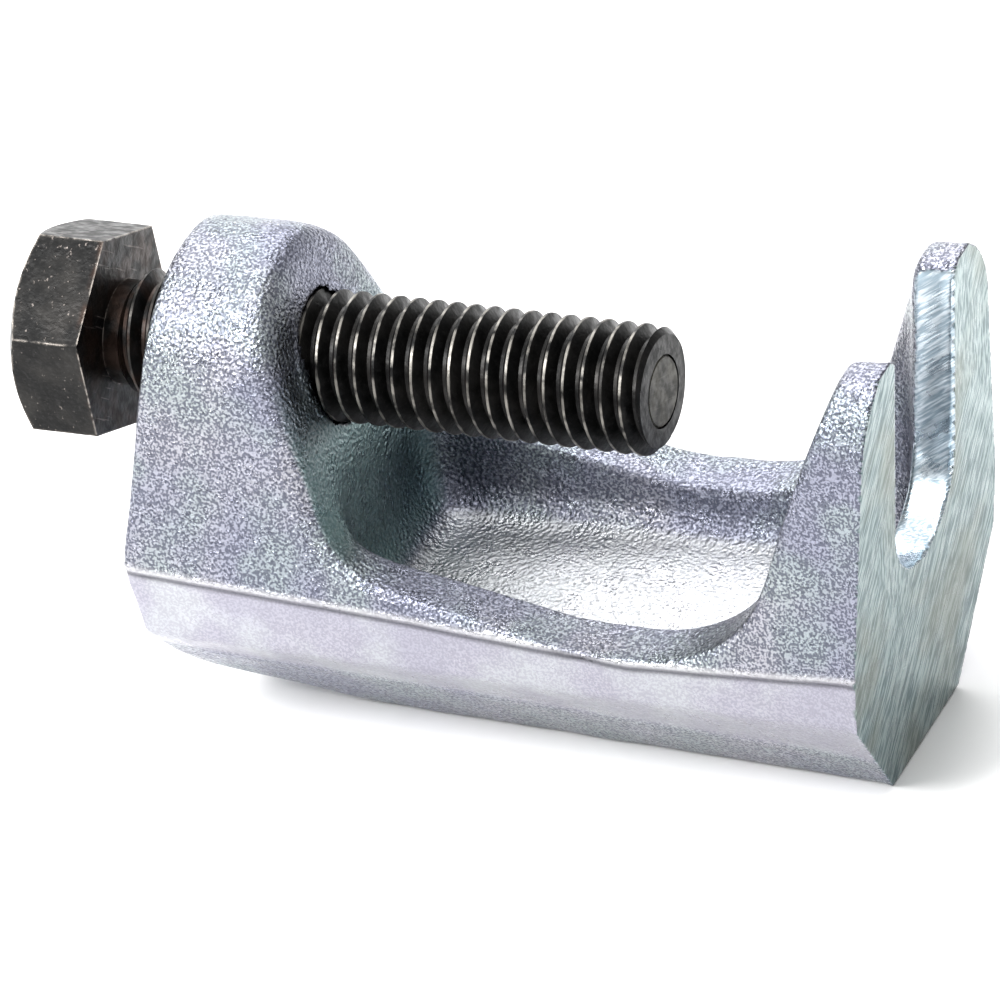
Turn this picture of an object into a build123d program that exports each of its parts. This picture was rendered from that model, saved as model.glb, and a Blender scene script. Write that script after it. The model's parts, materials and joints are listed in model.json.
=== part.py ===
from build123d import *
import math
import os

# Ball joint separator: a forged C-frame, a forcing screw and the thrust button in its end.
# X runs along the screw towards the fork and Z is up. While the pieces are made, X = 0 is the
# back face of the threaded boss at the height of the screw, and Z = 0 is the flat base.

# Forcing screw
SCREW_DIAMETER = 16.0
PITCH = 2.5
SCREW_LENGTH = 71.5          # under the head
HEAD_ACROSS_FLATS = 24.0
HEAD_HEIGHT = 10.0
HEAD_CHAMFER_ANGLE = 30.0    # from the end face
HEAD_FACE_SHRINK = 0.6       # the end face's circle lies this far inside the flats
HEAD_TURN = 33.7             # one corner of the hexagon, from +Y towards +Z
HEAD_GAP = 7.5               # head to boss at rest
NECK_LENGTH = 2.0
NECK_RELIEF = 0.1            # the neck is this much below the thread's root
TIP_CHAMFER = 1.0
THREAD_CLEARANCE = 0.15      # between the two threads, on every flank, crest and root

# Thrust button
BUTTON_DIAMETER = 9.0
BUTTON_LENGTH = 12.0
BUTTON_CLEARANCE = 0.05      # radial
BUTTON_END_GAP = 0.1
BUTTON_EDGE = 0.3

# Frame
AXIS_HEIGHT = 47.5           # screw above the base
PARTING_HEIGHT_BACK = 27.0
PARTING_HEIGHT_BOSS = 25.0
PARTING_HEIGHT_MIDDLE = 22.5
PARTING_HEIGHT_FORK = 25.5
CREASE_HEIGHT = 16.5         # top of the bevel on the underside
HALF_WIDTH_BACK = 20.2
HALF_WIDTH_FORK = 23.1
BASE_HALF_WIDTH_BACK = 5.0
BASE_HALF_WIDTH_FORK = 11.0
LOWER_DRAFT = 4.0            # degrees
FORK_SIDE_DRAFT = 5.0
SECTION_REACH = 10.0         # how far the outer skin is drawn past the back and the fork
SECTION_SPARE = 2.0          # and past the base and the top

BOSS_THICKNESS = 21.0        # along the screw
BOSS_TOP = 15.5              # above the screw
BOSS_TOP_ROUNDING = 0.9525   # share of the top's half width that its round takes up
BOSS_BACK_DRAFT = 9.5
BOSS_FRONT_DRAFT = 15.0
BOSS_SIDE_DRAFT = 12.5
BOSS_FOOT = 9.0              # how far the foot of the boss reaches past its front at the screw
BACK_UNDERCUT = 2.0
PARTING_RADIUS = 3.0
HEEL_RADIUS = 6.0
FORK_TOE_RADIUS = 0.8
HEEL_HEIGHT = 7.0
HEEL_LENGTH = 24.0

FORK_REACH = 98.2            # boss back face to fork face, at the height of the screw
FORK_LEAN = 8.5              # the fork face leans outwards, degrees from upright
FORK_TOP = 16.4              # above the screw
WEB_THICKNESS = 5.8          # fork wall around the notch
TINE_TOP_THICKNESS = 5.2
RIB_DEPTH = 10.6             # fork ribs at the height of the screw
RIB_LEAN = 20.8
RIB_BEND = 1.0               # the ribs bend this far above the screw
TINE_CORNER_RADIUS = 15.3
TINE_CROWN = 19.3            # the outer arcs would meet a top at this height above the screw
NOTCH_WIDTH = 19.0
NOTCH_MOUTH_RADIUS = 2.0
NOTCH_DEPTH = 19.8           # from the screw down to the bottom of the U

RAIL_HEIGHT = 23.0           # lowest part of the two rails, above the base
RAIL_BACK_HEIGHT = 29.5      # where the rails meet the boss
RAIL_LOW_START = 56.0
POCKET_WIDTH = 27.0
POCKET_FLOOR = 17.0
POCKET_TOP = 38.5            # where the pocket runs out on the boss
POCKET_TOP_RADIUS = 5.0
THROAT_BACK_RADIUS = 9.0
THROAT_LOW_RADIUS = 30.0
THROAT_FORK_RADIUS = 20.0
THROAT_RIB_RADIUS = 30.0
RIB_TOP_RADIUS = 3.0
POCKET_BACK_RADIUS = 6.0
POCKET_FORK_RADIUS = 10.0
POCKET_CORNER_RADIUS = 4.5

THREAD_FORM_HEIGHT = math.sqrt(3) / 2 * PITCH
EXTERNAL_DEPTH = 17 / 24 * THREAD_FORM_HEIGHT
INTERNAL_DEPTH = 5 / 8 * THREAD_FORM_HEIGHT
FLANK_SLOPE = math.tan(math.radians(30))
OVERLAP = 0.3                # how far joined or cut shapes reach into or past each other
REACH = 200.0                # larger than the whole tool
SAME_HEIGHT = 0.01           # edges closer than this to a level lie on it


def lean(x_at_axis, angle, height):
    """X of a line that leans by an angle from upright and crosses the screw's height at x_at_axis."""
    return x_at_axis + math.tan(math.radians(angle)) * (height - AXIS_HEIGHT)


def block(x_range, z_range):
    """A box that spans the whole width."""
    x0, x1 = x_range
    z0, z1 = z_range
    middle = Pos((x0 + x1) / 2, 0, (z0 + z1) / 2)
    return middle * Box(x1 - x0, REACH, z1 - z0)


def side_prism(outline, half_width):
    """Extrude an outline drawn in X and Z by a half width to each side."""
    face = make_face(Plane.XZ * outline)
    return extrude(face, half_width, both=True)


def cross_section(x, parting_height, side_draft):
    """The forging's section across the screw, drawn as half widths from below the base to the top."""
    share = x / FORK_REACH
    parting = HALF_WIDTH_BACK + share * (HALF_WIDTH_FORK - HALF_WIDTH_BACK)
    base = BASE_HALF_WIDTH_BACK + share * (BASE_HALF_WIDTH_FORK - BASE_HALF_WIDTH_BACK)
    crease = parting - math.tan(math.radians(LOWER_DRAFT)) * (parting_height - CREASE_HEIGHT)
    below = base - (crease - base) * SECTION_SPARE / CREASE_HEIGHT
    top_height = AXIS_HEIGHT + FORK_TOP + SECTION_SPARE
    top = parting - math.tan(math.radians(side_draft)) * (top_height - parting_height)
    heights = (-SECTION_SPARE, CREASE_HEIGHT, parting_height, top_height)
    right = list(zip((below, crease, parting, top), heights))
    left = [(-y, z) for y, z in reversed(right)]
    outline = Polyline(*(right + left), close=True)
    return Plane((x, 0, 0), x_dir=(0, 1, 0), z_dir=(1, 0, 0)) * make_face(outline)


def forging_envelope():
    """The drafted outer skin of the forging, without its side view."""
    boss_end = BOSS_THICKNESS + BOSS_FOOT
    middle = (boss_end + FORK_REACH) / 2
    sections = [
        cross_section(-SECTION_REACH, PARTING_HEIGHT_BACK, BOSS_SIDE_DRAFT),
        cross_section(boss_end, PARTING_HEIGHT_BOSS, BOSS_SIDE_DRAFT),
        cross_section(middle, PARTING_HEIGHT_MIDDLE, FORK_SIDE_DRAFT),
        cross_section(FORK_REACH + SECTION_REACH, PARTING_HEIGHT_FORK, FORK_SIDE_DRAFT),
    ]
    return loft(sections, ruled=True)


def throat_points():
    """Corners of the open throat in the side view, from the boss over the rails to the fork."""
    top = AXIS_HEIGHT + FORK_TOP
    above = top + SECTION_REACH
    rib_x = FORK_REACH - RIB_DEPTH
    return [
        (lean(BOSS_THICKNESS, -BOSS_FRONT_DRAFT, above), above),
        (lean(BOSS_THICKNESS, -BOSS_FRONT_DRAFT, RAIL_BACK_HEIGHT), RAIL_BACK_HEIGHT),
        (RAIL_LOW_START, RAIL_HEIGHT),
        (lean(rib_x, RIB_LEAN, RAIL_HEIGHT), RAIL_HEIGHT),
        (rib_x + RIB_BEND, AXIS_HEIGHT + RIB_BEND),
        (lean(FORK_REACH, FORK_LEAN, top) - TINE_TOP_THICKNESS, top),
        (lean(FORK_REACH, FORK_LEAN, above) - TINE_TOP_THICKNESS, above),
    ]


def throat():
    """The space between boss and fork, down to the tops of the rails."""
    points = throat_points()
    radii = [THROAT_BACK_RADIUS, THROAT_LOW_RADIUS, THROAT_FORK_RADIUS, THROAT_RIB_RADIUS, RIB_TOP_RADIUS]
    path = FilletPolyline(*points, radius=radii)
    closing = Line(points[-1], points[0])
    return side_prism(path + closing, REACH / 4)


def pocket():
    """The trough between the rails, cut into the foot of the boss and up the back of the fork."""
    top = AXIS_HEIGHT + FORK_TOP + SECTION_REACH
    web_x = FORK_REACH - WEB_THICKNESS
    points = [
        (lean(BOSS_THICKNESS, -BOSS_FRONT_DRAFT, top), top),
        (lean(BOSS_THICKNESS, -BOSS_FRONT_DRAFT, POCKET_TOP), POCKET_TOP),
        (lean(BOSS_THICKNESS, -BOSS_FRONT_DRAFT, POCKET_TOP), POCKET_FLOOR),
        (lean(web_x, FORK_LEAN, POCKET_FLOOR), POCKET_FLOOR),
        (lean(web_x, FORK_LEAN, top), top),
    ]
    path = FilletPolyline(*points, radius=[POCKET_TOP_RADIUS, POCKET_BACK_RADIUS, POCKET_FORK_RADIUS])
    closing = Line(points[-1], points[0])
    cutter = side_prism(path + closing, POCKET_WIDTH / 2)
    sides = cutter.faces().filter_by(Axis.Y)
    edges = [edge for face in sides for edge in face.edges() if (edge @ 0.5).Z < top - SAME_HEIGHT]
    return fillet(edges, POCKET_CORNER_RADIUS)


def side_view():
    """Outline of the forging from the side, without its throat."""
    top = AXIS_HEIGHT + FORK_TOP
    parting_x = lean(0, BOSS_BACK_DRAFT, PARTING_HEIGHT_BACK)
    points = [
        (lean(0, BOSS_BACK_DRAFT, top), top),
        (parting_x, PARTING_HEIGHT_BACK),
        (parting_x + BACK_UNDERCUT, HEEL_HEIGHT),
        (parting_x + HEEL_LENGTH, 0),
        (lean(FORK_REACH, FORK_LEAN, 0), 0),
        (lean(FORK_REACH, FORK_LEAN, top), top),
    ]
    path = FilletPolyline(*points, radius=[PARTING_RADIUS, HEEL_RADIUS, HEEL_RADIUS, FORK_TOE_RADIUS])
    return path + Line(points[-1], points[0])


def notch():
    """The U that passes through the fork, open at the top, where its mouth is rounded."""
    radius = NOTCH_WIDTH / 2
    centre_height = AXIS_HEIGHT - NOTCH_DEPTH + radius
    top = AXIS_HEIGHT + FORK_TOP
    outline = Pos(0, centre_height) * Circle(radius)
    outline += Pos(0, (centre_height + top) / 2) * Rectangle(NOTCH_WIDTH, top - centre_height)
    mouth_width = NOTCH_WIDTH + 2 * NOTCH_MOUTH_RADIUS
    mouth = Pos(0, top) * Rectangle(mouth_width, 2 * NOTCH_MOUTH_RADIUS)
    for side in (-1, 1):
        centre = Pos(side * mouth_width / 2, top - NOTCH_MOUTH_RADIUS)
        mouth -= centre * Circle(NOTCH_MOUTH_RADIUS)
    outline += mouth
    plane = Plane((FORK_REACH - 3 * RIB_DEPTH, 0, 0), x_dir=(0, 1, 0), z_dir=(1, 0, 0))
    return extrude(plane * outline, 6 * RIB_DEPTH)


def fork_corners():
    """What lies outside the two round outer corners of the tines."""
    top = AXIS_HEIGHT + TINE_CROWN
    draft = math.radians(FORK_SIDE_DRAFT)
    foot = HALF_WIDTH_FORK + math.tan(draft) * PARTING_HEIGHT_FORK
    crown = HALF_WIDTH_FORK - math.tan(draft) * (top - PARTING_HEIGHT_FORK)
    points = [(foot, 0), (crown, top), (-crown, top), (-foot, 0)]
    path = FilletPolyline(*points, radius=TINE_CORNER_RADIUS)
    outline = make_face(path + Line(points[-1], points[0]))
    start = FORK_REACH - 2 * RIB_DEPTH
    end = FORK_REACH + 2 * RIB_DEPTH
    plane = Plane((start, 0, 0), x_dir=(0, 1, 0), z_dir=(1, 0, 0))
    round_top = extrude(plane * outline, end - start)
    tangent_length = TINE_CORNER_RADIUS * math.tan((math.pi / 2 - draft) / 2)
    return block((start, end), (top - tangent_length * math.cos(draft), top + SECTION_REACH)) - round_top


def thread_ridge(core_radius, crest_radius, crest_width, start, length):
    """One right-hand thread ridge about the screw's axis, as a helical sweep with 30 degree flanks."""
    root_radius = core_radius - OVERLAP
    root_width = crest_width + 2 * FLANK_SLOPE * (crest_radius - root_radius)
    outline = Polyline(
        (root_radius, 0, -root_width / 2),
        (crest_radius, 0, -crest_width / 2),
        (crest_radius, 0, crest_width / 2),
        (root_radius, 0, root_width / 2),
        close=True,
    )
    path = Helix(pitch=PITCH, height=length, radius=root_radius)
    ridge = sweep(make_face(outline), path=path, is_frenet=True)
    return Pos(start, 0, AXIS_HEIGHT) * Rot(0, 90, 0) * ridge


def along_screw(radius, start, end):
    """A cylinder about the screw's axis between two stations."""
    cylinder = Cylinder(radius, end - start, align=(Align.CENTER, Align.CENTER, Align.MIN))
    return Pos(start, 0, AXIS_HEIGHT) * Rot(0, 90, 0) * cylinder


def tapped_bore():
    """The threaded hole through the boss, as a cutter."""
    start = -HEAD_GAP
    turns = math.ceil((BOSS_THICKNESS + BOSS_FOOT + HEAD_GAP) / PITCH)
    core_radius = SCREW_DIAMETER / 2 - INTERNAL_DEPTH + THREAD_CLEARANCE
    crest_radius = SCREW_DIAMETER / 2 + THREAD_CLEARANCE
    crest_width = PITCH / 8 + 2 * THREAD_CLEARANCE * (1 / math.cos(math.pi / 6) - FLANK_SLOPE)
    ridge = thread_ridge(core_radius, crest_radius, crest_width, start, turns * PITCH)
    return along_screw(core_radius, start, start + turns * PITCH) + ridge


def rounded_boss(blank):
    """Lower the boss to its own top and round that top about the screw."""
    top = AXIS_HEIGHT + BOSS_TOP
    end = BOSS_THICKNESS + BOSS_FOOT
    lowered = blank - block((-SECTION_REACH, end), (top, top + REACH))
    edges = [edge for edge in lowered.edges() if abs((edge @ 0.5).Z - top) < SAME_HEIGHT]
    draft = math.radians(BOSS_SIDE_DRAFT)
    half_width = HALF_WIDTH_BACK - math.tan(draft) * (top - PARTING_HEIGHT_BACK)
    long_edges = [edge for edge in edges if abs((edge @ 0.5).Y) > half_width / 2]
    radius = BOSS_TOP_ROUNDING * half_width / math.tan((math.pi / 2 - draft) / 2)
    return fillet(long_edges, radius)


def frame():
    """The forged C-frame."""
    blank = forging_envelope() & side_prism(side_view(), REACH / 2)
    blank = rounded_boss(blank - throat())
    return blank - fork_corners() - pocket() - notch() - tapped_bore()


def shank_limits():
    """The cone at the tip and the neck under the head, as a turned body wider than the thread."""
    neck = SCREW_DIAMETER / 2 - EXTERNAL_DEPTH - NECK_RELIEF
    wide = SCREW_DIAMETER / 2 + OVERLAP
    tip = SCREW_LENGTH - HEAD_GAP
    end_radius = SCREW_DIAMETER / 2 - TIP_CHAMFER
    neck_end = NECK_LENGTH - HEAD_GAP
    outline = Polyline(
        (-HEAD_GAP, 0, 0),
        (-HEAD_GAP, 0, neck),
        (neck_end, 0, neck),
        (neck_end + wide - neck, 0, wide),
        (tip - (wide - end_radius), 0, wide),
        (tip, 0, end_radius),
        (tip, 0, 0),
        close=True,
    )
    return Pos(0, 0, AXIS_HEIGHT) * revolve(make_face(outline), Axis.X)


def screw_head():
    """The hexagon, with its outer end chamfered."""
    corner_radius = HEAD_ACROSS_FLATS / math.sqrt(3)
    plane = Plane((-HEAD_GAP - HEAD_HEIGHT, 0, AXIS_HEIGHT), x_dir=(0, 1, 0), z_dir=(1, 0, 0))
    hexagon = extrude(plane * RegularPolygon(corner_radius, 6, rotation=HEAD_TURN), HEAD_HEIGHT)
    chamfer_radius = HEAD_ACROSS_FLATS / 2 - HEAD_FACE_SHRINK
    rise = HEAD_HEIGHT / math.tan(math.radians(HEAD_CHAMFER_ANGLE))
    cone = Cone(chamfer_radius, chamfer_radius + rise, HEAD_HEIGHT)
    return hexagon & plane * Pos(0, 0, HEAD_HEIGHT / 2) * cone


def forcing_screw():
    """The hex-head screw with its thread and the blind bore for the thrust button."""
    core_radius = SCREW_DIAMETER / 2 - EXTERNAL_DEPTH
    turns = math.ceil(SCREW_LENGTH / PITCH)
    ridge = thread_ridge(core_radius, SCREW_DIAMETER / 2, PITCH / 8, -HEAD_GAP, turns * PITCH)
    core = along_screw(core_radius, -HEAD_GAP, -HEAD_GAP + turns * PITCH)
    thread = (core + ridge) & shank_limits()
    tip = SCREW_LENGTH - HEAD_GAP
    bore_start = tip - BUTTON_LENGTH - BUTTON_END_GAP
    bore = along_screw(BUTTON_DIAMETER / 2 + BUTTON_CLEARANCE, bore_start, tip + OVERLAP)
    return thread + screw_head() - bore


def thrust_button():
    """The plain pin that bears on the work while the screw turns around it."""
    tip = SCREW_LENGTH - HEAD_GAP
    pin = along_screw(BUTTON_DIAMETER / 2, tip - BUTTON_LENGTH, tip)
    return chamfer(pin.edges().filter_by(GeomType.CIRCLE), BUTTON_EDGE)


def save(pieces):
    """Centre the tool on its length and write each piece."""
    box = Compound(list(pieces.values())).bounding_box()
    shift = Pos(-(box.min.X + box.max.X) / 2, 0, 0)
    os.makedirs("parts", exist_ok=True)
    for name, piece in pieces.items():
        export_step(shift * piece, f"parts/{name}.step")


if __name__ == "__main__":
    save({"frame": frame(), "forcing_screw": forcing_screw(), "thrust_button": thrust_button()})
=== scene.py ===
import json
import math

import bmesh
import bpy
import numpy as np
from mathutils import Matrix, Vector


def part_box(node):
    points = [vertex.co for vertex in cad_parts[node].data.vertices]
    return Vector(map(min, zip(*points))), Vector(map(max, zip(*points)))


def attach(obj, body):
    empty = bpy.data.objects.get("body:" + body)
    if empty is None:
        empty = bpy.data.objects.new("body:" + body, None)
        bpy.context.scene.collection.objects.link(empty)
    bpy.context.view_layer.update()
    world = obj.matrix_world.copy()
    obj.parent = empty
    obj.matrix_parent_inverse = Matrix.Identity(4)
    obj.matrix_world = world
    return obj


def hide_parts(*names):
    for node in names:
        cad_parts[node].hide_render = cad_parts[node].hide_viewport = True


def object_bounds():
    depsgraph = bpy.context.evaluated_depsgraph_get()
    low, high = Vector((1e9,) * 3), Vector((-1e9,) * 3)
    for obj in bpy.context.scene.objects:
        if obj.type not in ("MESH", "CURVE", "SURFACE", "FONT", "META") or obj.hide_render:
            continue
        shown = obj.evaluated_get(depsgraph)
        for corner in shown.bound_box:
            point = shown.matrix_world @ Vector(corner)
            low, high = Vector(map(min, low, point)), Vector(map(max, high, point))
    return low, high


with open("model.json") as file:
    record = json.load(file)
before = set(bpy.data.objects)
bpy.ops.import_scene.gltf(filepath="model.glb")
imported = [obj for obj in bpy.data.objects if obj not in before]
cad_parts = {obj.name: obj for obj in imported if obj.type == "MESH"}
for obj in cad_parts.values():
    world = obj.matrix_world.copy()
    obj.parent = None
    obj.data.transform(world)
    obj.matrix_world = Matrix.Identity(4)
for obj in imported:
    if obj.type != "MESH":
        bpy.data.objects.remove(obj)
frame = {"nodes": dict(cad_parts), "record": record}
CAD_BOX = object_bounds()

# A ball joint separator. A softer copy of the CAD frame stands for the forging. The screw and its
# button are the CAD's own bodies with better materials.

MM = 0.001
PER_METRE = 1000.0

# The design's own places, in metres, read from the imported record.
MOUNTS = {m["name"]: m for m in frame["record"]["mounts"]}
SCREW_HEIGHT = MOUNTS["thrust_end"]["pos_m"][2]
FORK_POINT = Vector(MOUNTS["fork_face"]["pos_m"])
FORK_NORMAL = Vector(MOUNTS["fork_face"]["axis"])

# Camera: where it looks from, its roll and how much of the object it takes in.
VIEW_AZIMUTH = math.radians(28.6)
VIEW_ELEVATION = math.radians(34.0)
VIEW_ROLL = math.radians(10.4)
VIEW_DISTANCE = 3.0
VIEW_WIDTH = 0.1209
VIEW_NEAREST = 0.05
VIEW_FARTHEST = 20
SENSOR_WIDTH = 36
AIM_FROM_CENTRE = Vector((-1.1, -2.16, -1.95)) * MM


def view_axes():
    """Right, up and back vectors of the camera."""
    sin_a, cos_a = math.sin(VIEW_AZIMUTH), math.cos(VIEW_AZIMUTH)
    sin_e, cos_e = math.sin(VIEW_ELEVATION), math.cos(VIEW_ELEVATION)
    level_right = Vector((cos_a, sin_a, 0))
    level_up = Vector((-sin_a * sin_e, cos_a * sin_e, cos_e))
    back = Vector((sin_a * cos_e, -cos_a * cos_e, sin_e))
    right = level_right * math.cos(VIEW_ROLL) - level_up * math.sin(VIEW_ROLL)
    up = level_right * math.sin(VIEW_ROLL) + level_up * math.cos(VIEW_ROLL)
    return right, up, back


def make_camera():
    right, up, back = view_axes()
    low, high = CAD_BOX
    aim = (low + high) / 2 + AIM_FROM_CENTRE
    data = bpy.data.cameras.new("camera")
    data.sensor_width = SENSOR_WIDTH
    data.lens = data.sensor_width * VIEW_DISTANCE / VIEW_WIDTH
    data.clip_start = VIEW_NEAREST
    data.clip_end = VIEW_FARTHEST
    camera = bpy.data.objects.new("camera", data)
    bpy.context.scene.collection.objects.link(camera)
    turn = Matrix((right, up, back)).transposed().to_4x4()
    camera.matrix_world = Matrix.Translation(aim + back * VIEW_DISTANCE) @ turn
    bpy.context.scene.camera = camera


# ---------------------------------------------------------------- the forging

# The CAD frame has sharp edges. The shown forging is the same body with forged, rolled edges, a
# parting flash and a slightly uneven skin. Sizes here are in millimetres, and a pair is the start
# and the end of a smooth change.
VOXEL = 0.36
MERGE_DISTANCE = 0.001

SMOOTH_STEPS = 150
SMOOTH_RATE = 0.6                # how far one step takes a point towards its neighbours
SMOOTH_BOSS = 1.0                # shares of that rate
SMOOTH_BODY = 0.22
SMOOTH_BACK = 0.15               # share of the boss's rounding at its back
BOSS_FOOT = (28.0, 36.0)         # heights where the boss's rounding sets in
BOSS_FRONT = (32.0, 40.0)        # distances from the back where it ends
BOSS_BACK = (5.0, 13.0)          # and where it reaches its full share
MACHINED_EDGE = (0.35, 1.75)     # distances from the ground fork face where rounding sets in
MACHINED_SKIN = 0.28             # what is this near to that face belongs to it

BORE_LENGTH = 45.0               # the bore lies within this distance of the boss's back
BORE_KEEP = (8.6, 10.2)          # radii about the screw, unrounded to rounded
BORE_OPEN = (8.6, 10.5)          # radii about the screw, opened to not opened
BORE_EASE = 0.25                 # how much the remeshed thread is opened

UNEVEN = 0.07                    # height of the skin's slow waves
WAVE_COUNT = 10
WAVE_LENGTHS = (6.0, 17.0)
WAVE_SEED = 4

FLASH_HEIGHT = 0.22
FLASH_WIDTH = 0.42
GROOVE_DROP = 0.75               # the painted shade line under the flash
PARTING_START = 3.4              # from the frame's low end to the first face of the boss
PARTING_STATIONS = (-10.0, 30.0, 64.1, 108.2)
PARTING_HEIGHTS = (27.0, 25.0, 22.5, 25.5)
OUTER_SIDE = (15.5, 17.0)        # distances from the middle plane
OUTER_BACK = (5.0, 7.0)          # distances from the back
FACING = (0.4, 0.8)              # parts of a normal that count as facing outwards

BELOW_PARTING = (-0.2, 0.5)
# Where the painted highlight on the trough floor lies: upward faces, low and near the middle.
TROUGH_SIDE = (10.0, 13.0)
TROUGH_FLATNESS = (0.75, 0.97)
TROUGH_LEVEL = (21.0, 24.0)
# Where the painted teal shade lies: faces turned towards the fork, near the boss and low down.
HOLLOW_FACING = (0.45, 0.9)
HOLLOW_REACH = (40.0, 50.0)
HOLLOW_LEVEL = (38.0, 54.0)
NOTCH_HALF_WIDTH = 9.5
NOTCH_SKIN = 0.4                 # what is this near to the notch's outline belongs to it
NOTCH_REACH = -8.0               # from the fork's face
NOTCH_LOWEST = 25.0
SQUARE_ON = 0.8                  # part of a normal that counts as square on

FRAME_NODE = frame["nodes"]["frame"]
FRAME_LOW, FRAME_HIGH = (np.array(corner) * PER_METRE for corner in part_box("frame"))
FORK_POINT_MM = np.array(FORK_POINT) * PER_METRE
FORK_DIRECTION = np.array(FORK_NORMAL.normalized())
SCREW_HEIGHT_MM = SCREW_HEIGHT * PER_METRE


def remeshed_frame():
    """An even quad mesh of the CAD frame, in the row frame."""
    mesh = FRAME_NODE.data.copy()
    mesh.transform(FRAME_NODE.matrix_world)
    mesh.materials.clear()
    work = bmesh.new()
    work.from_mesh(mesh)
    bmesh.ops.remove_doubles(work, verts=work.verts, dist=MERGE_DISTANCE * MM)
    work.to_mesh(mesh)
    work.free()
    source = bpy.data.objects.new("forging_source", mesh)
    bpy.context.scene.collection.objects.link(source)
    remesh = source.modifiers.new("remesh", "REMESH")
    remesh.mode = "VOXEL"
    remesh.voxel_size = VOXEL * MM
    graph = bpy.context.evaluated_depsgraph_get()
    result = bpy.data.meshes.new_from_object(source.evaluated_get(graph))
    bpy.data.objects.remove(source)
    return result


def mesh_points(mesh):
    """Places of a mesh's vertices as rows."""
    flat = np.empty(len(mesh.vertices) * 3, dtype=np.float64)
    mesh.vertices.foreach_get("co", flat)
    return flat.reshape(-1, 3) * PER_METRE


def mesh_normals(mesh):
    flat = np.empty(len(mesh.vertices) * 3, dtype=np.float32)
    mesh.vertices.foreach_get("normal", flat)
    return flat.reshape(-1, 3).astype(np.float64)


def mesh_edges(mesh):
    flat = np.empty(len(mesh.edges) * 2, dtype=np.int64)
    mesh.edges.foreach_get("vertices", flat)
    return flat.reshape(-1, 2)


def write_points(mesh, points):
    mesh.vertices.foreach_set("co", (points / PER_METRE).astype(np.float32).ravel())
    mesh.update()


def add_attribute(mesh, name, values):
    layer = mesh.attributes.new(name, "FLOAT", "POINT")
    layer.data.foreach_set("value", values.astype(np.float32))


def soft_step(value, start, end):
    """0 before start, 1 after end, smooth between."""
    share = np.clip((value - start) / (end - start), 0.0, 1.0)
    return share * share * (3 - 2 * share)


def from_back(points):
    return points[:, 0] - FRAME_LOW[0]


def above_parting(points):
    """Height of points above the parting line, where the forging is widest."""
    stations = [FRAME_LOW[0] + PARTING_START + station for station in PARTING_STATIONS]
    return points[:, 2] - np.interp(points[:, 0], stations, PARTING_HEIGHTS)


def fork_distance(points):
    """Signed distance of points from the fork's ground face, positive outside."""
    return (points - FORK_POINT_MM) @ FORK_DIRECTION


def axis_distance(points):
    return np.hypot(points[:, 1], points[:, 2] - SCREW_HEIGHT_MM)


def smoothing_weights(points):
    """How strongly each place of the forging is rounded."""
    back = from_back(points)
    boss = soft_step(points[:, 2], *BOSS_FOOT) * (1 - soft_step(back, *BOSS_FRONT))
    boss *= SMOOTH_BACK + (1 - SMOOTH_BACK) * soft_step(back, *BOSS_BACK)
    weights = SMOOTH_BODY + (SMOOTH_BOSS - SMOOTH_BODY) * boss
    weights *= soft_step(np.abs(fork_distance(points)), *MACHINED_EDGE)
    bore = soft_step(axis_distance(points), *BORE_KEEP)
    return np.where(back < BORE_LENGTH, weights * bore, weights)


def smooth(points, edges, weights):
    """Laplacian smoothing, stronger where the weights are larger."""
    a, b = edges[:, 0], edges[:, 1]
    count = len(points)
    neighbours = np.bincount(a, minlength=count) + np.bincount(b, minlength=count)
    neighbours = np.maximum(neighbours, 1)
    pull = (SMOOTH_RATE * weights)[:, None]
    for _ in range(SMOOTH_STEPS):
        total = np.empty_like(points)
        for k in range(3):
            column = points[:, k]
            total[:, k] = np.bincount(a, column[b], count) + np.bincount(b, column[a], count)
        points = points + pull * (total / neighbours[:, None] - points)
    return points


def waves(points):
    """Slow unevenness, mostly between -1 and 1."""
    rng = np.random.default_rng(WAVE_SEED)
    total = np.zeros(len(points))
    for _ in range(WAVE_COUNT):
        direction = rng.normal(size=3)
        direction /= np.linalg.norm(direction)
        length = rng.uniform(*WAVE_LENGTHS)
        phase = rng.uniform(0, 2 * math.pi)
        total += np.sin(points @ direction * 2 * math.pi / length + phase)
    return total / (WAVE_COUNT / 2)


def outside_share(points, normals):
    """1 on the forging's outer sides and back, 0 elsewhere."""
    outwards = np.sign(points[:, 1]) * normals[:, 1]
    sides = soft_step(np.abs(points[:, 1]), *OUTER_SIDE) * soft_step(outwards, *FACING)
    back = (1 - soft_step(from_back(points), *OUTER_BACK)) * soft_step(-normals[:, 0], *FACING)
    return np.maximum(sides, back)


def ease_bore(points):
    """Move the bore's thread outwards, so that the coarser mesh doesn't cut into the screw."""
    radius = axis_distance(points)
    share = (from_back(points) < BORE_LENGTH) * (1 - soft_step(radius, *BORE_OPEN))
    growth = 1 + BORE_EASE * share / np.maximum(radius, 1.0)
    eased = points.copy()
    eased[:, 1] *= growth
    eased[:, 2] = SCREW_HEIGHT_MM + (points[:, 2] - SCREW_HEIGHT_MM) * growth
    return eased


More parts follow.
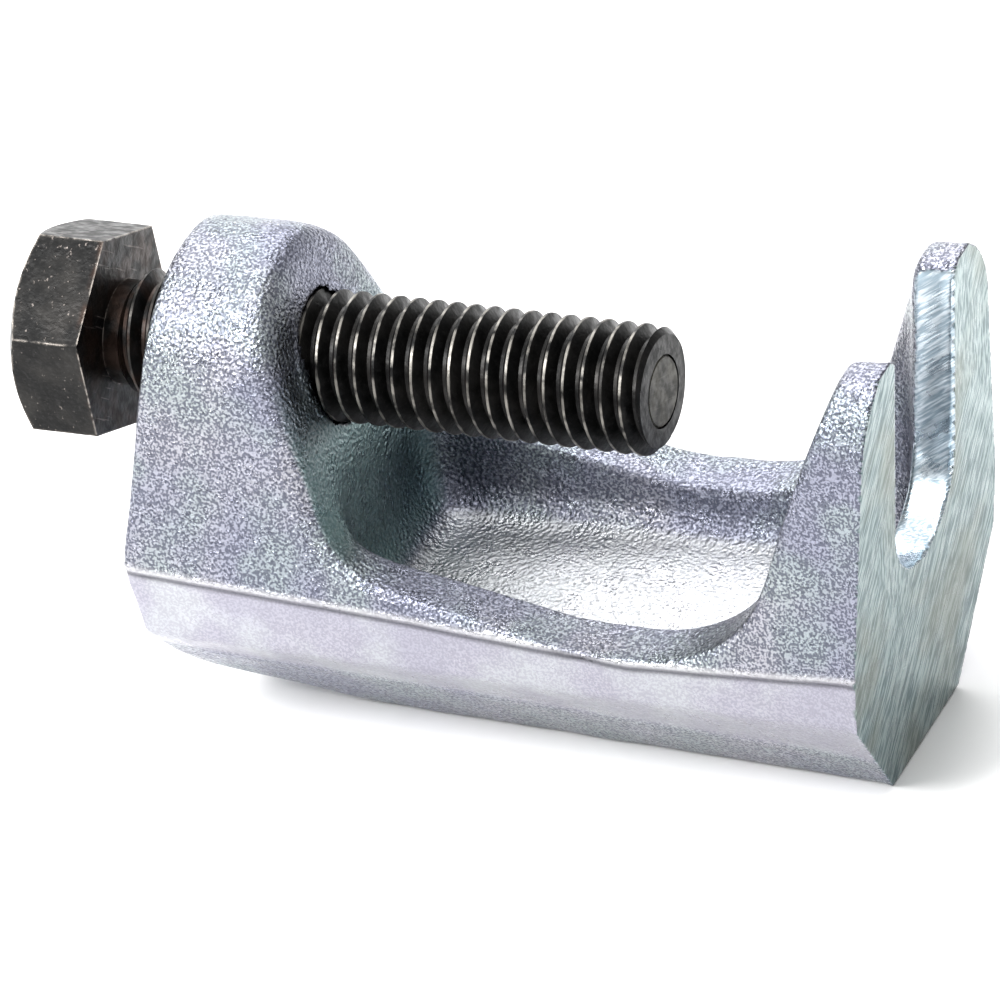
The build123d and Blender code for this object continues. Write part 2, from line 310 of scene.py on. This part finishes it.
def shape_forging(mesh):
    """Round, roughen and flash the forging, and keep its ground face flat."""
    points = mesh_points(mesh)
    on_face = np.abs(fork_distance(points)) < MACHINED_SKIN
    weights = smoothing_weights(points)
    points = smooth(points, mesh_edges(mesh), weights)
    write_points(mesh, points)
    normals = mesh_normals(mesh)
    outside = outside_share(points, normals)
    # The flash band: raised as a ridge, and later given a painted highlight.
    flash = np.exp(-((above_parting(points) / FLASH_WIDTH) ** 2))
    skin = np.clip(weights / SMOOTH_BODY, 0, 1)
    raised = UNEVEN * (waves(points) - 1.0) * skin
    raised -= FLASH_HEIGHT * outside * (1 - flash) * skin
    points = ease_bore(points + normals * raised[:, None])
    shift = np.where(on_face, -fork_distance(points), 0.0)
    points = points + shift[:, None] * FORK_DIRECTION
    points = np.clip(points, FRAME_LOW, FRAME_HIGH)
    write_points(mesh, points)
    return points, on_face, outside, flash


def mark_zones(mesh, points, on_face, outside, flash):
    """Store the zones that the zinc material tells apart, some of them masks for painted highlight and
    painted shade.
    """
    normals = mesh_normals(mesh)
    y, z = points[:, 1], points[:, 2]
    machined = on_face & (normals @ FORK_DIRECTION > SQUARE_ON)
    walls = (np.abs(np.abs(y) - NOTCH_HALF_WIDTH) < NOTCH_SKIN) & (np.abs(normals[:, 1]) > SQUARE_ON)
    bottom = axis_distance(points) > NOTCH_HALF_WIDTH - NOTCH_SKIN
    bottom &= np.abs(y) < NOTCH_HALF_WIDTH + NOTCH_SKIN
    near_fork = (fork_distance(points) > NOTCH_REACH) & (z > NOTCH_LOWEST)
    # Painted highlight on the upward-facing floor of the trough.
    trough = (1 - soft_step(np.abs(y), *TROUGH_SIDE)) * (1 - soft_step(z, *TROUGH_LEVEL))
    # Painted teal shade on faces turned towards the fork in the hollow by the boss.
    hollow = soft_step(normals[:, 0], *HOLLOW_FACING) * (1 - soft_step(from_back(points), *HOLLOW_REACH))
    # Where the painted shade line under the flash ridge lies.
    from_groove = above_parting(points) + GROOVE_DROP
    zones = {
        "machined": machined.astype(float),
        "notch": ((walls | bottom) & near_fork & ~machined).astype(float),
        "below": soft_step(-above_parting(points), *BELOW_PARTING) * outside,
        # Painted highlight on the flash ridge, and under it a painted shade line.
        "flash": flash * outside,
        "groove": np.exp(-((from_groove / FLASH_WIDTH) ** 2)) * outside,
        "trough": trough * soft_step(normals[:, 2], *TROUGH_FLATNESS),
        "hollow": hollow * (1 - soft_step(z, *HOLLOW_LEVEL)),
    }
    for name, values in zones.items():
        add_attribute(mesh, name, values)


def make_forging():
    mesh = remeshed_frame()
    mark_zones(mesh, *shape_forging(mesh))
    forging = bpy.data.objects.new("frame_forging", mesh)
    bpy.context.scene.collection.objects.link(forging)
    mesh.shade_smooth()
    mesh.materials.append(zinc_material())
    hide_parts("frame")
    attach(forging, "frame")


# ---------------------------------------------------------------- materials


class Nodes:
    """Short ways to build a material's node tree. Sizes are in millimetres."""

    def __init__(self, name, metallic=1.0):
        self.material = bpy.data.materials.new(name)
        self.material.use_nodes = True
        self.tree = self.material.node_tree
        self.shader = self.tree.nodes["Principled BSDF"]
        self.shader.inputs["Metallic"].default_value = metallic
        self.place = self.tree.nodes.new("ShaderNodeTexCoord").outputs["Object"]

    def put(self, socket, value):
        """Link a socket, or set its own value."""
        if hasattr(value, "is_output"):
            self.tree.links.new(value, socket)
        elif isinstance(value, tuple) and len(value) == 3 and socket.type == "RGBA":
            socket.default_value = value + (1,)
        else:
            socket.default_value = value

    def node(self, kind, inputs=(), **settings):
        made = self.tree.nodes.new("ShaderNode" + kind)
        for key, value in settings.items():
            setattr(made, key, value)
        for key, value in dict(inputs).items():
            self.put(made.inputs[key], value)
        return made

    def math(self, operation, a, b=0.0):
        return self.node("Math", {0: a, 1: b}, operation=operation).outputs[0]

    def times(self, a, b):
        return self.math("MULTIPLY", a, b)

    def plus(self, a, b):
        return self.math("ADD", a, b)

    def minus(self, a, b):
        return self.math("SUBTRACT", a, b)

    def mix(self, share, a, b):
        """Colour a where share is 0 and b where it is 1."""
        made = self.node("Mix", data_type="RGBA")
        for index, value in ((0, share), (6, a), (7, b)):
            self.put(made.inputs[index], value)
        return made.outputs[2]

    def step(self, value, low, high, out_low=0.0, out_high=1.0):
        """A smooth change from out_low to out_high as value goes from low to high."""
        inputs = {0: value, 1: low, 2: high, 3: out_low, 4: out_high}
        return self.node("MapRange", inputs, interpolation_type="SMOOTHSTEP").outputs[0]

    def noise(self, size, detail=3.0, stretch=(1, 1, 1), turn=(0, 0, 0)):
        """Noise with features of about that size, drawn out along the axes by stretch."""
        scale = tuple(PER_METRE / size / k for k in stretch)
        place = self.place
        if any(turn):
            place = self.node("Mapping", {"Vector": place, "Rotation": turn}).outputs[0]
        mapped = self.node("Mapping", {"Vector": place, "Scale": scale}).outputs[0]
        return self.node("TexNoise", {"Vector": mapped, "Scale": 1.0, "Detail": detail}).outputs[0]

    def grains(self, size):
        inputs = {"Vector": self.place, "Scale": PER_METRE / size}
        return self.node("TexVoronoi", inputs, feature="SMOOTH_F1").outputs["Distance"]

    def attribute(self, name):
        return self.node("Attribute", attribute_name=name).outputs["Fac"]

    def bump(self, height, depth, after=None):
        made = self.node("Bump", {"Height": height, "Distance": depth * MM, "Strength": 1.0})
        if after:
            self.put(made.inputs["Normal"], after)
        return made.outputs[0]

    def finish(self, colour, roughness, normal):
        self.put(self.shader.inputs["Base Color"], colour)
        self.put(self.shader.inputs["Roughness"], roughness)
        self.put(self.shader.inputs["Normal"], normal)
        return self.material


# Colours, as linear red, green and blue.
ZINC_BLUE, ZINC_GREY, ZINC_GREEN = (0.29, 0.30, 0.37), (0.38, 0.38, 0.42), (0.32, 0.38, 0.37)
BAND_DARK, BAND_LIGHT = (0.34, 0.33, 0.38), (0.42, 0.42, 0.45)
GRAIN_DARK = (0.065, 0.07, 0.10)
# Painted teal shade for the hollow by the boss.
HOLLOW_SHADE_TEAL = (0.17, 0.29, 0.27)
# Painted highlight for the trough floor.
TROUGH_HIGHLIGHT = (0.60, 0.61, 0.62)
# A painted highlight on the flash ridge, and a painted shade line under it.
FLASH_HIGHLIGHT, GROOVE_SHADE = (0.66, 0.65, 0.66), (0.05, 0.05, 0.06)
GROUND_DARK, GROUND_LIGHT, GROUND_STAIN = (0.08, 0.13, 0.14), (0.30, 0.37, 0.37), (0.16, 0.17, 0.13)
MILLED_DARK, MILLED_LIGHT = (0.28, 0.35, 0.40), (0.58, 0.64, 0.68)
OXIDE_DARK, OXIDE_LIGHT, OXIDE_DUST = (0.007, 0.007, 0.007), (0.018, 0.017, 0.016), (0.040, 0.039, 0.038)
WORN_CREST, WORN_EDGE, SCRATCHED = (0.27, 0.255, 0.23), (0.42, 0.38, 0.34), (0.25, 0.22, 0.20)
RUST = (0.034, 0.018, 0.012)
POINT_DARK, POINT_LIGHT, POINT_MARK = (0.020, 0.019, 0.015), (0.045, 0.042, 0.032), (0.08, 0.075, 0.06)


def blasted_skin(n, below, grain):
    """Colour of the shot-blasted skin, with the smoother band below the parting line, and painted
    highlight and shade in some zones.
    """
    tint = n.step(n.noise(22, 3), 0.38, 0.62)
    patch = n.step(n.noise(9, 4), 0.42, 0.66)
    plate = n.mix(n.times(patch, 0.6), n.mix(tint, ZINC_BLUE, ZINC_GREY), ZINC_GREEN)
    grainy = n.mix(n.times(n.step(grain, 0.44, 0.54), 0.8), plate, GRAIN_DARK)
    skin = n.mix(n.times(below, 0.72), grainy, n.mix(patch, BAND_DARK, BAND_LIGHT))
    # Painted light: teal shade in the hollow by the boss, highlights on the trough floor and the flash
    # ridge, and a shade line under the flash.
    zones = (
        ("hollow", 0.6, HOLLOW_SHADE_TEAL),
        ("trough", 0.7, TROUGH_HIGHLIGHT),
        ("flash", 0.6, FLASH_HIGHLIGHT),
        ("groove", 0.85, GROOVE_SHADE),
    )
    for name, strength, colour in zones:
        skin = n.mix(n.times(n.attribute(name), strength), skin, colour)
    return skin


def grinding_lines(n):
    """Upright strokes on one part of the fork face and slanted ones on the other."""
    upright = n.noise(0.35, 4, stretch=(1, 1, 26))
    slanted = n.noise(0.45, 4, stretch=(1, 1, 30), turn=(math.radians(38), 0, 0))
    where = n.step(n.noise(30, 1), 0.44, 0.56)
    return n.plus(n.times(upright, n.minus(1.0, where)), n.times(slanted, where))


def zinc_material():
    """Zinc plate on a shot-blasted forging, with a ground fork face, a milled notch, and painted
    highlight and shade on the skin.
    """
    n = Nodes("zinc_plate")
    machined = n.attribute("machined")
    milled = n.attribute("notch")
    below = n.attribute("below")
    grain = n.noise(0.34, 4)
    lines = grinding_lines(n)
    scratch = n.noise(0.30, 4, stretch=(14, 1, 1), turn=(0, math.radians(35), 0))

    ground = n.mix(n.step(lines, 0.40, 0.60), GROUND_DARK, GROUND_LIGHT)
    stain = n.times(n.step(n.noise(14, 2), 0.45, 0.65), 0.5)
    ground = n.mix(stain, ground, GROUND_STAIN)
    inside = n.mix(n.step(scratch, 0.4, 0.62), MILLED_DARK, MILLED_LIGHT)
    colour = n.mix(machined, blasted_skin(n, below, grain), ground)
    colour = n.mix(milled, colour, inside)

    rough_skin = n.step(n.noise(3.0, 4), 0.35, 0.65, 0.24, 0.38)
    roughness = n.plus(rough_skin, n.times(below, 0.02))

    blasted = n.minus(1.0, n.math("MAXIMUM", machined, milled))
    finer = n.minus(1.0, n.times(below, 0.6))
    relief = n.times(n.plus(n.grains(0.48), n.times(grain, 0.8)), blasted)
    normal = n.bump(n.times(relief, finer), 0.20)
    cuts = n.plus(n.times(lines, machined), n.times(scratch, milled))
    normal = n.bump(cuts, 0.035, normal)
    return n.finish(colour, roughness, normal)


def screw_radius(node, n):
    """Distance from the screw's axis, in the node's own coordinates, in millimetres."""
    centre = node.matrix_world.inverted() @ Vector((0, 0, SCREW_HEIGHT))
    parts = n.node("SeparateXYZ", {0: n.place})
    y = n.minus(parts.outputs[1], centre.y)
    z = n.minus(parts.outputs[2], centre.z)
    square = n.plus(n.times(y, y), n.times(z, z))
    return n.times(n.math("SQRT", square), PER_METRE)


def from_head_end(node, n):
    """Distance from the head's end along the screw, in millimetres."""
    low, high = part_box("forcing_screw")
    start = node.matrix_world.inverted() @ Vector((low[0], 0, SCREW_HEIGHT))
    parts = n.node("SeparateXYZ", {0: n.place})
    return n.times(n.minus(parts.outputs[0], start.x), PER_METRE)


def edge_share(n):
    """1 on sharp edges, 0 on flat faces."""
    bevel = n.node("Bevel", {"Radius": 0.45 * MM}, samples=6).outputs[0]
    normal = n.node("NewGeometry").outputs["Normal"]
    turn = n.node("VectorMath", {0: bevel, 1: normal}, operation="DOT_PRODUCT").outputs["Value"]
    return n.step(n.minus(1.0, turn), 0.015, 0.12)


def black_oxide_material(node):
    """Black oxide with bare steel on the thread's crests and along the head's edges. The crests fade
    towards the head, partly as painted shade.
    """
    n = Nodes("black_oxide", metallic=0.85)
    radius = screw_radius(node, n)
    along = from_head_end(node, n)
    on_head = n.step(along, 10.0, 10.2, 1.0, 0.0)

    colour = n.mix(n.step(n.noise(5, 4), 0.40, 0.66), OXIDE_DARK, OXIDE_LIGHT)
    colour = n.mix(n.times(n.step(n.noise(0.5, 5), 0.5, 0.75), 0.30), colour, OXIDE_DUST)

    crest = n.step(n.plus(radius, n.times(n.noise(2.5, 4), 0.55)), 8.20, 8.34)
    # Crest wear fades towards the head: the thread there is less used, and this also paints shade on the
    # shank near the head.
    wear_and_shade = n.step(along, 22.0, 34.0, 0.15, 1.0)
    crest = n.times(n.times(crest, n.minus(1.0, on_head)), wear_and_shade)
    colour = n.mix(n.times(crest, 0.65), colour, WORN_CREST)

    wear = n.times(n.times(edge_share(n), n.step(n.noise(1.2, 5), 0.36, 0.58)), on_head)
    colour = n.mix(n.times(wear, 0.85), colour, WORN_EDGE)

    scratch = n.noise(0.5, 3, stretch=(1, 18, 1), turn=(math.radians(40), 0.5, 0))
    scratch = n.step(scratch, 0.66, 0.72)
    colour = n.mix(n.times(n.times(scratch, on_head), 0.5), colour, SCRATCHED)

    under_head = n.times(n.step(along, 9.0, 9.95), n.step(along, 15.0, 17.5, 1.0, 0.0))
    rust = n.times(under_head, n.step(n.noise(3.5, 4), 0.42, 0.62))
    colour = n.mix(n.times(rust, 0.6), colour, RUST)

    roughness = n.step(n.noise(1.5, 4), 0.35, 0.65, 0.32, 0.52)
    normal = n.bump(n.plus(n.noise(0.6, 4), n.times(scratch, -0.3)), 0.05)
    return n.finish(colour, roughness, normal)


def button_material():
    """Hardened steel, ground at its end and stained dark."""
    n = Nodes("hardened_point", metallic=0.8)
    marks = n.noise(0.25, 4, stretch=(1, 12, 1), turn=(math.radians(25), 0, 0))
    colour = n.mix(n.step(n.noise(2.5, 5), 0.38, 0.64), POINT_DARK, POINT_LIGHT)
    colour = n.mix(n.times(n.step(marks, 0.55, 0.75), 0.5), colour, POINT_MARK)
    roughness = n.step(n.noise(1.0, 4), 0.35, 0.65, 0.35, 0.52)
    return n.finish(colour, roughness, n.bump(marks, 0.02))


def paint(node, material):
    for material_slot in node.material_slots:
        material_slot.link = "OBJECT"
        material_slot.material = material


# ---------------------------------------------------------------- floor and light

FLOOR_HALF_SIZE = 1.5
FLOOR_DROP = 0.0001
FLOOR_COLOUR = (0.95, 0.95, 0.95, 1)
FLOOR_ROUGHNESS = 0.9

# Name, place from the object's centre, size and power, in metres and watts.
LIGHTS = (
    ("key", (-0.36, -0.48, 0.63), (0.46, 0.46), 12.0),
    ("top", (0.05, 0.05, 0.9), (0.6, 0.6), 5.0),
    ("rim", (-0.32, 0.58, 0.46), (0.7, 0.5), 6.0),
)
STUDIO_STRENGTH = 0.55


def make_floor():
    mesh = bpy.data.meshes.new("floor")
    half = FLOOR_HALF_SIZE
    corners = [(-half, -half, 0), (half, -half, 0), (half, half, 0), (-half, half, 0)]
    mesh.from_pydata([Vector(c) for c in corners], [], [(0, 1, 2, 3)])
    floor = bpy.data.objects.new("floor", mesh)
    floor.location.z = -FLOOR_DROP
    bpy.context.scene.collection.objects.link(floor)
    material = bpy.data.materials.new("floor_paper")
    material.use_nodes = True
    shader = material.node_tree.nodes["Principled BSDF"]
    shader.inputs["Base Color"].default_value = FLOOR_COLOUR
    shader.inputs["Roughness"].default_value = FLOOR_ROUGHNESS
    mesh.materials.append(material)


def area_light(name, place, aim, size, watts):
    data = bpy.data.lights.new(name, "AREA")
    data.shape = "RECTANGLE"
    data.size, data.size_y = size
    data.energy = watts
    light = bpy.data.objects.new(name, data)
    bpy.context.scene.collection.objects.link(light)
    light.location = place
    light.rotation_mode = "QUATERNION"
    light.rotation_quaternion = (aim - light.location).to_track_quat("-Z", "Y")


def make_lights():
    low, high = CAD_BOX
    centre = (low + high) / 2
    for name, offset, size, watts in LIGHTS:
        area_light(name, centre + Vector(offset), centre, size, watts)
    world = bpy.data.worlds.new("studio")
    world.use_nodes = True
    background = world.node_tree.nodes["Background"]
    background.inputs["Color"].default_value = (1, 1, 1, 1)
    background.inputs["Strength"].default_value = STUDIO_STRENGTH
    bpy.context.scene.world = world
    bpy.context.scene.view_settings.view_transform = "Standard"


make_camera()
make_forging()
paint(frame["nodes"]["forcing_screw"], black_oxide_material(frame["nodes"]["forcing_screw"]))
paint(frame["nodes"]["thrust_button"], button_material())
make_floor()
make_lights()
